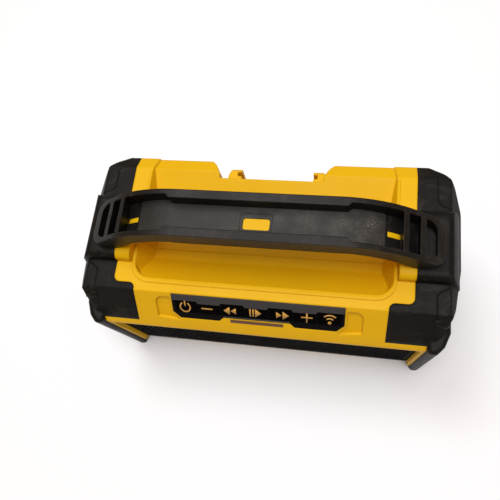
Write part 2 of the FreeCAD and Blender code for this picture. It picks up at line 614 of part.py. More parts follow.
def handle():
    """Yellow core, black cover with its tray, textured liner and rubber grip under the middle."""
    far = "2 * handle_tip"
    plan = handle_plan("handle_outline", "0")
    top = handle_layer("handle_top_arch", "0", "handle_tip")
    under = handle_layer("cover_under_arch", "cover_thickness", "core_foot")
    ribs = [block("rib_%d" % k, "%d * rib_%s" % (side, near), "%d * rib_%s" % (side, far_edge),
                  "-" + far, far, "0", far)
            for k, (side, near, far_edge) in enumerate((
                (1, "one_inner", "one_outer"), (1, "two_inner", "two_outer"),
                (-1, "one_outer", "one_inner"), (-1, "two_outer", "two_inner")))]
    floor = handle_layer("tray_floor_arch", "tray_depth", "tray_end + 5")
    channel = cut("tray_walls", tray_plan(), joined("tray_solid", [floor] + ribs))
    middle = "(handle_rear - handle_front) / 2"
    window = block("window_room", "-window_length / 2", "window_length / 2", middle + " - window_width / 2",
                   middle + " + window_width / 2", "core_underside_height", "handle_top_height")
    drains = [block("drain_%d" % k, low, high, middle + " - drain_width / 2", middle + " + drain_width / 2",
                    "core_underside_height", "handle_top_height")
              for k, (low, high) in enumerate((("drain_inner", "rib_two_inner"), ("-rib_two_inner", "-drain_inner")))]
    arch = shared("cover_arch", [top, plan])
    cover = cut("handle_cover_solid", cut("cover_shell", arch, under),
                joined("tray_room", [channel, window] + drains))
    finish("handle_cover", cover)
    # The core follows the underside of the cover and stands on the inner part of each pedestal
    inner_plan = handle_plan("core_outline", "core_inset")
    arch_gap = body("hand_gap_arch")
    rise = "(core_underside_height - pedestal_height)"
    points = mirrored([("pedestal_inner", "0"), ("pedestal_inner", "pedestal_height"),
                       ("pedestal_inner - %s * 1.28" % rise, "core_underside_height")])
    pad(arch_gap, outline(sketch(arch_gap, "hand_gap_view", "XZ_Plane"), points), "6 * handle_front",
        symmetric=True)
    low = size("core_underside_height")
    soften(arch_gap, "core_bend",
           lambda middle_point, direction: abs(direction.y) > 0.99 and middle_point.z > low - 1)
    core = cut("core_arch", shared("core_layer", [under, inner_plan]), arch_gap)
    grip = handle_grip(core)
    slimmed = cut("core_waist", core, grip)
    boss = block("core_boss", "-window_length / 2", "window_length / 2", middle + " - window_width / 2",
                 middle + " + window_width / 2", "core_top_height - 1",
                 "handle_top_height - tray_depth + liner_thickness / 2")
    tabs = [shared("drain_tab_%d" % k, [drain, floor]) for k, drain in enumerate(drains)]
    finish("handle_core", joined("handle_core_solid", [slimmed, boss] + tabs))
    finish("handle_grip", grip)
    liner_top = handle_layer("liner_top_arch", "tray_depth - liner_thickness", "tray_end + 5")
    liner_room = cut("liner_layer", shared("liner_band", [liner_top, tray_plan_inside()]), floor)
    finish("tray_liner", cut("tray_liner_solid", liner_room, window))


def handle_grip(core):
    """Rubber sleeve let into the middle of the core, open at the top where the cover lies on it."""
    outside = block("grip_block", "-grip_half", "grip_half", "-2 * handle_front", "2 * handle_front",
                    "core_underside_height - 1", "handle_top_height")
    inside = block("grip_inside", "-2 * grip_half", "2 * grip_half",
                   "-(handle_front - core_inset - grip_wall)",
                   "handle_rear - core_inset - grip_wall", "core_underside_height + grip_wall",
                   "handle_top_height")
    sleeve = cut("grip_sleeve", shared("grip_length", [core, outside]), inside)
    doc.recompute()
    low = size("core_underside_height")
    eased = doc.addObject("Part::Chamfer", "grip_eased")
    eased.Base = sleeve
    front = size("handle_front") - size("core_inset") - 0.1
    rear = size("handle_rear") - size("core_inset") - 0.1
    eased.Edges = [(int(name[4:]), size("grip_chamfer") / 2, size("grip_chamfer") / 2)
                   for name in edges_where(
        sleeve.Shape, lambda point, direction: point.z < low + 0.1 and abs(direction.x) > 0.99
        and not -front < point.y < rear)]
    return eased


def tray_plan_inside():
    """The part of the tray's plan that the liner covers."""
    owner = body("liner_plan")
    step = "(rail_width - end_rail_width)"
    front = "-(handle_front - rail_width)"
    rear = "handle_rear - rail_width"
    points = mirrored([("tray_middle_half", front), ("tray_middle_half + " + step, "%s - %s" % (front, step)),
                       ("liner_half", "%s - %s" % (front, step)), ("liner_half", "%s + %s" % (rear, step)),
                       ("tray_middle_half + " + step, "%s + %s" % (rear, step)), ("tray_middle_half", rear)])
    pad(owner, outline(sketch(owner, "liner_view", "XY_Plane"), points), "2 * handle_top_height")
    return owner


KEYS = ["power_button", "volume_down_button", "previous_button", "play_pause_button",
        "next_button", "volume_up_button", "wireless_button"]
TALL_KEYS = ("power_button", "previous_button", "next_button", "wireless_button")


def key_places():
    """Each key's name, its middle across the panel and the size that sets its upper edge."""
    for number, name in enumerate(KEYS):
        top = "key_top" if name in TALL_KEYS else "key_low_top"
        yield name, "(%d * key_pitch)" % (number - (len(KEYS) - 1) // 2), top


def key_panel():
    """Black bezel with one opening per key, the keys with their flanges, switches and board."""
    bezel = body("control_bezel_body")
    pad(bezel, outline(sketch(bezel, "bezel_view", "XY_Plane", "-panel_depth"), mirrored(panel_outline("0"))),
        "panel_depth")
    openings = sketch(bezel, "key_openings_view", "XY_Plane")
    for name, middle, top in key_places():
        rectangle(openings, middle + " - key_pitch / 2 + key_gap", middle + " + key_pitch / 2 - key_gap",
                  "-key_bottom", "-" + top)
    pocket(bezel, openings, "panel_depth")
    finish("control_bezel", on_slope(bezel))
    for name, middle, top in key_places():
        key = body(name + "_body")
        side = "(key_pitch / 2 - 2 * key_gap)"
        pad(key, rectangle(sketch(key, name + "_cap_view", "XY_Plane", "-(panel_depth + key_gap)"),
                           "%s - %s" % (middle, side), "%s + %s" % (middle, side),
                           "-(key_bottom - key_gap)", "-(%s + key_gap)" % top),
                           "panel_depth + key_gap + key_proud")
        face = size("key_proud")
        soften(key, "key_round", lambda point, direction: point.z > face - 0.01)
        flange = "(key_pitch / 2 - key_gap / 2)"
        pad(key, rectangle(sketch(key, name + "_flange_view", "XY_Plane", "-(panel_depth + key_gap)"),
                           "%s - %s" % (middle, flange), "%s + %s" % (middle, flange),
                           "-(key_bottom + key_flange - key_gap)",
                           "-(%s - key_flange + key_gap)" % top), "key_flange", backwards=True)
        finish(name, on_slope(key))
    board = body("keypad_board_body")
    floor = "-(panel_depth + key_length + 1)"
    pad(board, rectangle(sketch(board, "keypad_board_view", "XY_Plane", floor), "-(panel_half_width - 1)",
                         "panel_half_width - 1", "-(panel_end - panel_corner)", "-(panel_start + 2)"),
                         "board_thickness")
    finish("keypad_board", on_slope(board))
    switches = body("key_switches_body")
    flat = sketch(switches, "key_switches_view", "XY_Plane", floor + " + board_thickness")
    for name, middle, top in key_places():
        rectangle(flat, middle + " - switch_half", middle + " + switch_half", "-(key_bottom - 2)",
                  "-(key_bottom - 2 - 2 * switch_half)")
    feature = pad(switches, flat, "key_length + 1 - board_thickness - key_gap - key_flange - key_travel"
                                  " - switch_clearance")
    feature.AllowMultiFace = True
    switches.AllowCompound = True
    finish("key_switches", on_slope(switches))
    lens = body("status_lens_body")
    pad(lens,
        rectangle(sketch(lens, "lens_view", "XY_Plane", "-lens_depth"), "-lens_half_width", "lens_half_width",
                        "-(lens_start + lens_width)", "-lens_start"), "lens_depth + 0.2")
    finish("status_lens", on_slope(lens))


def grille():
    """Perforated front plate: staggered six-sided holes that keep a plain rim."""
    front = -size("front_reach") + size("grille_recess")
    half = size("opening_half_width") - size("grille_fit")
    low = size("base_height") + size("grille_fit")
    high = size("opening_high") - size("grille_fit")
    rim = size("grille_rim") + size("grille_hole")
    pitch = size("grille_pitch")

    def hexagon(x, z):
        corners = [FreeCAD.Vector(x + size("grille_hole") * math.sin(math.radians(60 * k)), front,
                                  z + size("grille_hole") * math.cos(math.radians(60 * k))) for k in range(6)]
        return Part.makePolygon(corners + corners[:1])

    rows = int((high - low - 2 * rim) / (pitch * 0.866))
    holes = []
    for row in range(rows + 1):
        z = (low + high) / 2 + (row - rows / 2) * pitch * 0.866
        shift = pitch / 2 if row % 2 else 0.0
        count = int((half - rim - shift) / pitch)
        places = [k * pitch + shift for k in range(count + 1)]
        places += [-x for x in places if x > 0.01]
        holes += [hexagon(x, z) for x in places]
    corners = [FreeCAD.Vector(x, front, z)
               for x, z in ((-half, low), (half, low), (half, high), (-half, high))]
    rim_wire = Part.makePolygon(corners + corners[:1])
    plate = Part.Face([rim_wire] + holes).extrude(FreeCAD.Vector(0, size("grille_thickness"), 0))
    upright = [edge for edge in plate.Edges if abs(edge.CenterOfMass.x) > half - 0.01
               and abs(edge.Vertexes[0].Z - edge.Vertexes[-1].Z) < 0.01 and edge.Length < 3]
    feature = doc.addObject("Part::Feature", "speaker_grille_plate")
    feature.Shape = plate.makeFillet(size("opening_round") - size("grille_fit"), upright)
    finish("speaker_grille", feature)


def baffle():
    owner = body("speaker_baffle_body")
    flat = rectangle(sketch(owner, "baffle_view", "XZ_Plane", "cavity_front"), "-baffle_half_width",
                     "baffle_half_width", "cavity_floor_height", "cavity_roof_height")
    pad(owner, flat, "baffle_thickness", backwards=True)
    holes = sketch(owner, "baffle_holes_view", "XZ_Plane", "cavity_front")
    for side in (-1, 1):
        circle(holes, "%d * driver_offset" % side, "driver_height", "driver_hole_radius")
    pocket(owner, holes, "2 * baffle_thickness", symmetric=True)
    finish("speaker_baffle", owner)


def turned(name, points, side):
    """A piece turned about the driver's axis; points are radius and place along Y."""
    owner = body(name)
    flat = outline(sketch(owner, name + "_view", "XY_Plane"), points)
    revolve(owner, flat)
    return bind(owner, Placement__Base__x="%d * driver_offset" % side, Placement__Base__z="driver_height")


def drivers():
    """Basket, magnet, cone and surround of each of the two speaker drivers."""
    face = "-(cavity_front + 1.5)"
    rear = "-(cavity_front - driver_depth)"
    for word, side in (("left", -1), ("right", 1)):
        basket = turned("driver_basket_%s_body" % word, [
            ("cone_radius + surround_width", face), ("driver_flange_radius", face),
            ("driver_flange_radius", "-cavity_front"), ("driver_hole_radius - 0.5", "-cavity_front"),
            ("magnet_radius - 3", rear), ("0", rear),
            ("0", rear + " - 2"), ("magnet_radius - 5", rear + " - 2")], side)
        finish("driver_basket_" + word, basket)
        magnet = turned("driver_magnet_%s_body" % word, [
            ("0", rear), ("magnet_radius", rear), ("magnet_radius", rear + " + magnet_length"),
            ("0", rear + " + magnet_length")], side)
        finish("driver_magnet_" + word, magnet)
        cone = turned("driver_cone_%s_body" % word, [
            ("cone_radius", face + " + 0.6"), ("cone_radius", face + " + 1.6"), ("7", "-(cavity_front - 12)"),
            ("0", "-(cavity_front - 12)"), ("0", "-(cavity_front - 9)"), ("8", "-(cavity_front - 9)")], side)
        finish("driver_cone_" + word, cone)
        surround = turned("driver_surround_%s_body" % word, [
            ("cone_radius + cone_gap", face + " + 1.4"), ("cone_radius + 1.2", face + " - 0.4"),
            ("cone_radius + surround_width - 0.8", face + " - 0.4"),
            ("cone_radius + surround_width", face)], side)
        finish("driver_surround_" + word, surround)


def rear_pieces():
    """Battery terminals, main board, sockets, their hinged cover and the case screws."""
    board = block("main_board_block", "-main_board_half", "main_board_half",
                  "bay_wall_reach - housing_wall - main_board_thickness", "bay_wall_reach - housing_wall",
                  "main_board_low", "main_board_high")
    finish("main_board", board)
    terminal = body("terminal_block_body")
    pad(terminal, rectangle(sketch(terminal, "terminal_view", "XY_Plane", "terminal_low"), "-terminal_half",
                            "terminal_half", "bay_wall_reach", "terminal_reach"),
                            "terminal_high - terminal_low")
    slots = sketch(terminal, "terminal_slots_view", "XY_Plane", "terminal_high")
    blades = body("terminal_blades_body")
    flat = sketch(blades, "blades_view", "XY_Plane", "terminal_high - blade_seat")
    for number in range(int(size("blade_count"))):
        middle = "(%s * blade_pitch)" % (number - (size("blade_count") - 1) / 2)
        rectangle(slots, middle + " - blade_thickness / 2", middle + " + blade_thickness / 2",
                  "bay_wall_reach + 3", "terminal_reach - 1.5")
        rectangle(flat, middle + " - blade_thickness / 2", middle + " + blade_thickness / 2",
                  "bay_wall_reach + 3", "terminal_reach - 1.5")
    pocket(terminal, slots, "blade_seat")
    feature = pad(blades, flat, "blade_length")
    feature.AllowMultiFace = True
    blades.AllowCompound = True
    finish("terminal_block", terminal)
    finish("terminal_blades", blades)
    plate = body("port_plate_body")
    rear_face = "-(rear_reach - port_depth)"
    flat = rectangle(sketch(plate, "port_plate_view", "XZ_Plane", rear_face),
                     "port_centre - port_length / 2 + 1",
                     "port_centre + port_length / 2 - 1", "port_height - port_width / 2 + 1",
                     "port_height + port_width / 2 - 1")
    pad(plate, flat, "port_plate_thickness", backwards=True)
    holes = sketch(plate, "port_holes_view", "XZ_Plane", rear_face)
    circle(holes, "port_centre - jack_offset", "port_height", "aux_body_radius")
    circle(holes, "port_centre + jack_offset", "port_height", "dc_body_radius")
    pocket(plate, holes, "3 * port_plate_thickness", symmetric=True)
    finish("port_plate", plate)
    flush = "rear_reach - port_depth + port_plate_thickness"
    for name, place, outer, bore, length in (("aux_jack", "port_centre - jack_offset", "aux_body_radius",
                                              "aux_bore_radius", "aux_length"),
                                             ("dc_jack", "port_centre + jack_offset", "dc_body_radius",
                                              "dc_bore_radius", "dc_length")):
        shell = rod(name + "_shell", place, "port_height", outer, "%s - %s" % (flush, length), flush)
        hole = rod(name + "_bore", place, "port_height", bore, "%s - %s + jack_floor" % (flush, length),
                   flush + " + 1")
        hollow = cut(name + "_hollow", shell, hole)
        if name == "dc_jack":
            pin = rod("dc_pin", place, "port_height", "dc_pin_radius",
                      "%s - %s + jack_floor / 2" % (flush, length),
                      flush + " - jack_floor")
            hollow = joined("dc_jack_solid", [hollow, pin])
        finish(name, hollow)
    cover = body("port_cover_body")
    leaf = "-(rear_reach - cover_leaf)"
    flat = rectangle(sketch(cover, "port_cover_view", "XZ_Plane", leaf),
                     "port_centre - port_length / 2 + port_gap",
                     "port_centre + port_length / 2 - port_gap", "port_height - port_width / 2 + port_gap",
                     "port_height + port_width / 2 - port_gap")
    pad(cover, flat, "cover_leaf", backwards=True)
    tab = rectangle(sketch(cover, "port_tab_view", "XZ_Plane", "-rear_reach"), "port_centre - 6",
                    "port_centre + 6",
                    "port_height - port_width / 2 + port_gap", "port_height - port_width / 2 + 3")
    pad(cover, tab, "port_tab", backwards=True)
    finish("port_cover", cover)
    screws = []
    seat = "screw_seat - split_reach"
    for number, (side, level) in enumerate(((-1, "low"), (1, "low"), (-1, "high"), (1, "high"))):
        x = "%d * screw_%s_offset" % (side, level)
        z = "screw_%s_height" % level
        shank = rod("screw_shank_%d" % number, x, z, "screw_shank", "%s - screw_length" % seat, seat)
        head = rod("screw_head_%d" % number, x, z, "screw_head", seat, seat + " + screw_head_length")
        screws.append(joined("case_screw_%d" % number, [shank, head]))
    group = doc.addObject("Part::Compound", "case_screws_group")
    group.Links = screws
    finish("case_screws", group)


def build():
    outer_form = envelope("outer_form", "0")
    pedestals = [pedestal("pedestal_left", -1), pedestal("pedestal_right", 1)]
    outer = joined("outer_with_pedestals", [outer_form] + pedestals)
    inner = envelope("inner_form", "bumper_wall")
    solid = housings(outer, yellow_region(), inner)
    bumpers(outer, solid)
    handle()
    key_panel()
    grille()
    baffle()
    drivers()
    rear_pieces()


build()
doc.recompute()
faults = [item.Name + ": " + ", ".join(item.State) for item in doc.Objects
          if "Invalid" in item.State or "Error" in item.State]
faults += [item.Label + ": no valid shape" for item in finished
           if item.Shape.isNull() or not item.Shape.isValid() or not item.Shape.Solids]
if faults:
    raise RuntimeError("; ".join(faults))
os.makedirs("parts", exist_ok=True)
for item in finished:
    item.Shape.exportStep(os.path.join("parts", item.Label + ".step"))
print(len(finished), "sub-parts written")
for item in finished:
    box = item.Shape.BoundBox
    print("%-24s solids %d volume %9.1f  x %7.1f %7.1f  y %6.1f %6.1f  z %6.1f %6.1f" % (
        item.Label, len(item.Shape.Solids), item.Shape.Volume, box.XMin, box.XMax, box.YMin, box.YMax,
        box.ZMin, box.ZMax))
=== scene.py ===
# %% [markdown]
# # Dressing a cordless jobsite radio
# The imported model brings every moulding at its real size. This script gives each moulding its
# finish, adds the fine things that are pressed, perforated or printed on the real radio, and sets
# up a studio that looks at it from the photograph's viewpoint. Lengths are metres, and shapes are
# worked out in millimetres before they are scaled.

# %% Load the frame
import math

import bmesh
import bpy
import numpy as np
from mathutils import Matrix, Vector


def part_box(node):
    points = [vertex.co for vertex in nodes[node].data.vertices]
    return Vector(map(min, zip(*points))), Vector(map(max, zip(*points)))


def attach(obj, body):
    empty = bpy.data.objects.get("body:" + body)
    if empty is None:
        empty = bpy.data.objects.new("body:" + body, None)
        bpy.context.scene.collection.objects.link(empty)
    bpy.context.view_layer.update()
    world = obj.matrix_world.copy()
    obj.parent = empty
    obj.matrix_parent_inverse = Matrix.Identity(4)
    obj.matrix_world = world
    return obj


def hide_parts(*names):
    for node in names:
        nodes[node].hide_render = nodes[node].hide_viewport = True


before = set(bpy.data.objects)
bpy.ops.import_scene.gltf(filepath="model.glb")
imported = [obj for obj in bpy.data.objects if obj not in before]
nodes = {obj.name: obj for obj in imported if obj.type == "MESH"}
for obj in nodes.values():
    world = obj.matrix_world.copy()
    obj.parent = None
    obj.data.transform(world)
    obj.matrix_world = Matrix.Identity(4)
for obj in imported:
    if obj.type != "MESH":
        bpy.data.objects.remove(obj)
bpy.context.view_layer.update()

MM = 0.001
scene = bpy.context.scene


def srgb(code):
    """Linear colour from an sRGB hex value: each channel goes through the sRGB curve."""
    parts = np.array([int(code[k:k + 2], 16) for k in (1, 3, 5)]) / 255.0
    linear = np.where(parts <= 0.04045, parts / 12.92, ((parts + 0.055) / 1.055) ** 2.4)
    return (*linear.tolist(), 1.0)


def add(tree, kind, inputs=None, **settings):
    """Add one shader node, with its settings and with a value or a link for each input."""
    made = tree.nodes.new(kind)
    for key, value in settings.items():
        setattr(made, key, value)
    for name, value in (inputs or {}).items():
        if isinstance(value, bpy.types.NodeSocket):
            tree.links.new(value, made.inputs[name])
        else:
            made.inputs[name].default_value = value
    return made


def blank(name):
    """A material with only a principled shader, its tree and the object's own coordinates."""
    material = bpy.data.materials.new(name)
    material.use_nodes = True
    tree = material.node_tree
    shader = tree.nodes["Principled BSDF"]
    place = add(tree, "ShaderNodeTexCoord").outputs["Object"]
    return material, tree, shader, place


def coat(material, *items):
    """Put one material on these pieces, given by node name or as objects."""
    for item in items:
        target = nodes[item] if isinstance(item, str) else item
        target.data.materials.clear()
        target.data.materials.append(material)


# %% [markdown]
# ## Moulded plastics and rubbers
# Nearly everything that shows is injection moulded. A mould leaves a fine spark-eroded grain, and
# handling leaves faint cloudy patches where the grain is polished. One recipe covers them all:
# a grain bump, a slow mottle in colour and roughness, sparse pale scuffs, and softened edges,
# because no mould has a knife edge. What differs is the resin: ABS is lighter and smoother,
# rubber is darker and duller.

# %% A recipe for moulded resin
PATCH = 30 * MM
SCUFF = 11 * MM


def moulded(name, colour, shade, roughness, grain_mm, grain_depth_mm, edge_mm=0.5, level=0.5,
            scuff=None):
    """Resin from a grained mould: colour drifts to its shade over about 30 mm, roughness with it."""
    material, tree, shader, place = blank(name)
    patches = add(tree, "ShaderNodeTexNoise", {"Vector": place, "Scale": 1 / PATCH, "Detail": 3.0,
                                               "Roughness": 0.55})
    tint = add(tree, "ShaderNodeMix", {"Factor": patches.outputs["Fac"], "A": srgb(colour),
                                       "B": srgb(shade)}, data_type="RGBA").outputs["Result"]
    if scuff:
        marks = add(tree, "ShaderNodeTexNoise", {"Vector": place, "Scale": 1 / SCUFF, "Detail": 6.0,
                                                 "Roughness": 0.7, "Distortion": 1.2})
        share = add(tree, "ShaderNodeMapRange", {"Value": marks.outputs["Fac"], "From Min": 0.52,
                                                 "From Max": 0.76, "To Max": 0.55})
        tint = add(tree, "ShaderNodeMix", {"Factor": share.outputs["Result"], "A": tint,
                                           "B": srgb(scuff)}, data_type="RGBA").outputs["Result"]
    polish = add(tree, "ShaderNodeMapRange", {"Value": patches.outputs["Fac"], "From Min": 0.3,
                                              "From Max": 0.7, "To Min": roughness - 0.05,
                                              "To Max": roughness + 0.05})
    grain = add(tree, "ShaderNodeTexNoise", {"Vector": place, "Scale": 1 / (grain_mm * MM),
                                             "Detail": 2.0, "Roughness": 0.5})
    edge = add(tree, "ShaderNodeBevel", {"Radius": edge_mm * MM}, samples=6)
    relief = add(tree, "ShaderNodeBump", {"Height": grain.outputs["Fac"], "Strength": 1.0,
                                          "Distance": grain_depth_mm * MM,
                                          "Normal": edge.outputs["Normal"]})
    tree.links.new(tint, shader.inputs["Base Color"])
    tree.links.new(polish.outputs["Result"], shader.inputs["Roughness"])
    tree.links.new(relief.outputs["Normal"], shader.inputs["Normal"])
    shader.inputs["Specular IOR Level"].default_value = level
    return material


# %% [markdown]
# ### The yellow housing
# Fine-grained ABS in a warm safety yellow. The grain is too fine to see one by one from here, so
# it is drawn at 0.7 mm, which just breaks up the highlight. The mould's edges are rounded by more
# than a millimetre, which shows as a soft bright line along every rim.

# %% Yellow ABS on both housing halves and the core of the handle
yellow_abs = moulded("moulded_abs_yellow", "#e3b40a", "#dcaa06", 0.52, 0.7, 0.012, edge_mm=1.6,
                     level=0.16, scuff="#dcb01e")
coat(yellow_abs, "front_housing", "rear_housing", "handle_core")
print("yellow pieces: housing halves and handle core")

# %% [markdown]
# ### Black rubber and black nylon
# The bumpers and the grip are thermoplastic rubber moulded over plastic: matt, with faint grey
# scuffs. The handle cover is glass-filled nylon, a little tighter and glossier, the key bezel is
# satin ABS, and the keys are polished ABS. A plastic's usual sheen level is 0.5. The photograph was
# taken in a darker room, and in this pale studio that level would turn every black grey, so the
# levels here are lower, set for this light and not measured from the resins.

# %% Blacks
bumper_tpe = moulded("overmoulded_tpe_black", "#151312", "#0f0e0d", 0.5, 0.9, 0.03, edge_mm=2.4,
                     level=0.13, scuff="#3d3833")
cover_nylon = moulded("glass_filled_nylon_black", "#191716", "#131110", 0.46, 0.6, 0.02, edge_mm=0.9,
                      level=0.22, scuff="#3a3632")
bezel_abs = moulded("satin_abs_black", "#0d0c0e", "#0a090b", 0.42, 0.5, 0.008, level=0.05)
# The brow and the raised line are the bezel's black ABS coloured a lighter charcoal: painted highlight for
# the light their ledges catch.
brow_painted_highlight = moulded("black_abs_painted_highlight", "#3b3b3e", "#343437", 0.42, 0.5, 0.01, edge_mm=0.3, level=0.3)
key_abs = moulded("polished_abs_black", "#040404", "#060606", 0.3, 0.5, 0.003, edge_mm=0.4, level=0.02)
inner_abs = moulded("plain_abs_black", "#131313", "#101010", 0.5, 0.6, 0.01, level=0.3)
coat(bumper_tpe, "end_bumper_left", "end_bumper_right", "handle_grip", "port_cover")
coat(cover_nylon, "handle_cover")
coat(bezel_abs, "control_bezel")
KEYS = ["power_button", "volume_down_button", "previous_button", "play_pause_button",
        "next_button", "volume_up_button", "wireless_button"]
coat(key_abs, *KEYS)
coat(inner_abs, "speaker_baffle", "port_plate", "aux_jack", "dc_jack", "terminal_block", "key_switches")

# %% [markdown]
# ### The tray liner
# The floor of the tray is soft rubber with a pimpled grain that holds dust. The pale specks grow
# thicker towards the right end of the tray.

# %% Dusty liner rubber
DUST_START = -20 * MM
DUST_FULL = 62 * MM


def dusty_rubber(name, strength=1.0):
    """Dark rubber whose specks of dust follow a broad patchiness and grow towards one end."""
    material, tree, shader, place = blank(name)
    specks = add(tree, "ShaderNodeTexNoise", {"Vector": place, "Scale": 1 / (0.6 * MM), "Detail": 3.0})
    drift = add(tree, "ShaderNodeTexNoise", {"Vector": place, "Scale": 1 / (18 * MM), "Detail": 3.0})
    along = add(tree, "ShaderNodeSeparateXYZ", {"Vector": place})
    fine = add(tree, "ShaderNodeMapRange", {"Value": specks.outputs["Fac"], "From Min": 0.45,
                                            "From Max": 0.8})
    broad = add(tree, "ShaderNodeMapRange", {"Value": drift.outputs["Fac"], "From Min": 0.38,
                                             "From Max": 0.68})
    lean = add(tree, "ShaderNodeMapRange", {"Value": along.outputs["X"], "From Min": DUST_START,
                                            "From Max": DUST_FULL, "To Min": 0.35 * strength,
                                            "To Max": 1.3 * strength})
    patch = add(tree, "ShaderNodeMath", {0: fine.outputs["Result"], 1: broad.outputs["Result"]},
                operation="MULTIPLY")
    dust = add(tree, "ShaderNodeMath", {0: patch.outputs["Value"], 1: lean.outputs["Result"]},
               operation="MULTIPLY", use_clamp=True)
    tint = add(tree, "ShaderNodeMix", {"Factor": dust.outputs["Value"], "A": srgb("#1f1d1b"),
                                       "B": srgb("#837f77")}, data_type="RGBA")
    relief = add(tree, "ShaderNodeBump", {"Height": specks.outputs["Fac"], "Distance": 0.08 * MM})
    tree.links.new(tint.outputs["Result"], shader.inputs["Base Color"])
    tree.links.new(relief.outputs["Normal"], shader.inputs["Normal"])
    shader.inputs["Roughness"].default_value = 0.6
    shader.inputs["Specular IOR Level"].default_value = 0.4
    return material


liner_rubber = dusty_rubber("pimpled_rubber_dusty")
coat(liner_rubber, "tray_liner")

# %% [markdown]
# ### Metal, card and lens
# The grille is powder-coated steel, the driver parts sit in the dark behind it, and the status
# lens is smoked acrylic.

# %% Other finishes
grille_coat = moulded("powder_coated_steel_black", "#050505", "#040404", 0.5, 0.35, 0.02, edge_mm=0.2,
                      level=0.01)
cone_coat = moulded("coated_paper_black", "#151515", "#111111", 0.7, 0.8, 0.03, edge_mm=0.2, level=0.2)
steel = moulded("zinc_plated_steel", "#8b8c8e", "#7f8082", 0.35, 0.5, 0.003, edge_mm=0.2)
brass = moulded("rolled_brass", "#c9a455", "#bd9748", 0.3, 0.5, 0.002, edge_mm=0.1)
for metal in (steel, brass):
    metal.node_tree.nodes["Principled BSDF"].inputs["Metallic"].default_value = 1.0
board_mask = moulded("solder_mask_green", "#16492c", "#123f26", 0.35, 1.0, 0.004, edge_mm=0.1)
smoke = moulded("smoked_acrylic", "#7a5a40", "#523b2b", 0.2, 1.0, 0.002, edge_mm=0.4)
for side in ("left", "right"):
    coat(cone_coat, "driver_cone_" + side)
    coat(bumper_tpe, "driver_surround_" + side)
    coat(inner_abs, "driver_basket_" + side)
    coat(steel, "driver_magnet_" + side)
coat(steel, "case_screws")
coat(brass, "terminal_blades")
coat(board_mask, "main_board", "keypad_board")
coat(smoke, "status_lens")

# %% [markdown]
# ## Surfaces from arrays
# New shapes are grids of points. A grid is a profile carried along a path: each row of the grid is
# one place on the path, each column one point of the profile. The helpers below make the faces of
# a grid, round the corners of a path, and put points and faces into a mesh.

# %% Grid, path and mesh helpers
def grid_faces(rows, columns, closed_path=False):
    """Quads of a grid whose columns close on themselves; its rows close too where asked."""
    row = np.arange(rows if closed_path else rows - 1)
    here, column = np.meshgrid(row, np.arange(columns), indexing="ij")
    after = (here + 1) % rows
    beside = (column + 1) % columns
    quads = np.stack([here * columns + column, here * columns + beside,
                      after * columns + beside, after * columns + column], axis=-1)
    return quads.reshape(-1, 4).tolist()


def rounded(corners, radius, steps=9, closed=True):
    """Corners to a smooth path: each corner becomes an arc that is tangent to its two sides."""
    corners = np.asarray(corners, dtype=float)
    before = corners - np.roll(corners, 1, axis=0)
    before /= np.linalg.norm(before, axis=1, keepdims=True)
    after = np.roll(before, -1, axis=0)
    turn = np.arctan2(before[:, 0] * after[:, 1] - before[:, 1] * after[:, 0], (before * after).sum(axis=1))
    reach = radius * np.abs(np.tan(turn / 2))[:, None]
    inward = np.stack([-before[:, 1], before[:, 0]], axis=1) * np.sign(turn)[:, None] * radius
    centre = corners - before * reach + inward
    swing = turn[:, None] * np.linspace(0, 1, steps)
    x = centre[:, :1] - inward[:, :1] * np.cos(swing) + inward[:, 1:] * np.sin(swing)
    y = centre[:, 1:] - inward[:, :1] * np.sin(swing) - inward[:, 1:] * np.cos(swing)
    arcs = np.stack([x, y], axis=-1)
    if closed:
        return arcs.reshape(-1, 2)
    return np.concatenate([corners[:1], arcs[1:-1].reshape(-1, 2), corners[-1:]])


def outward(path, closed=True):
    """Unit normals of a path that runs anticlockwise: its direction turned to the right."""
    if closed:
        along = np.roll(path, -1, axis=0) - np.roll(path, 1, axis=0)
    else:
        along = np.gradient(path, axis=0)
    along /= np.linalg.norm(along, axis=1, keepdims=True)
    return np.stack([along[:, 1], -along[:, 0]], axis=1)


def make(name, points, faces, material, slot, body="radio_body", smooth_below=35.0):
    """Points in millimetres and faces to a finished piece that rides on a body."""
    mesh = bpy.data.meshes.new(name)
    mesh.from_pydata((np.asarray(points) * MM).tolist(), [], faces)
    shape = bmesh.new()
    shape.from_mesh(mesh)
    bmesh.ops.remove_doubles(shape, verts=shape.verts, dist=0.001 * MM)
    bmesh.ops.recalc_face_normals(shape, faces=shape.faces)
    shape.to_mesh(mesh)
    shape.free()
    mesh.shade_smooth()
    mesh.set_sharp_from_angle(angle=math.radians(smooth_below))
    piece = bpy.data.objects.new(name, mesh)
    scene.collection.objects.link(piece)
    coat(material, piece)
    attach(piece, body)
    print(name, len(mesh.polygons), "faces")
    return piece


def carried(path, profile, width, closed=True):
    """A profile of (out, up) carried along a path: place + normal * out * width, and up as height."""
    side = outward(path, closed)
    reach = profile[:, 0] * np.asarray(width, dtype=float).reshape(-1, 1)
    reach = np.broadcast_to(reach, (len(path), len(profile)))
    x = path[:, :1] + side[:, :1] * reach
    y = path[:, 1:] + side[:, 1:] * reach
    up = np.broadcast_to(profile[:, 1], x.shape)
    points = np.stack([x, y, up], axis=-1).reshape(-1, 3)
    faces = grid_faces(len(path), len(profile), closed)
    if not closed:
        last = (len(path) - 1) * len(profile)
        faces += [list(range(len(profile))), list(range(last, last + len(profile)))]
    return points, faces


# %% [markdown]
# ## The lip round the finger well
# A low lip runs round the front and both ends of the finger well. It is wide in front and narrows
# beside the pedestals, where only 2.5 mm is free. Its section rises steeply outside, which gives
# the thin dark line that sets it off, and falls gently to the well.

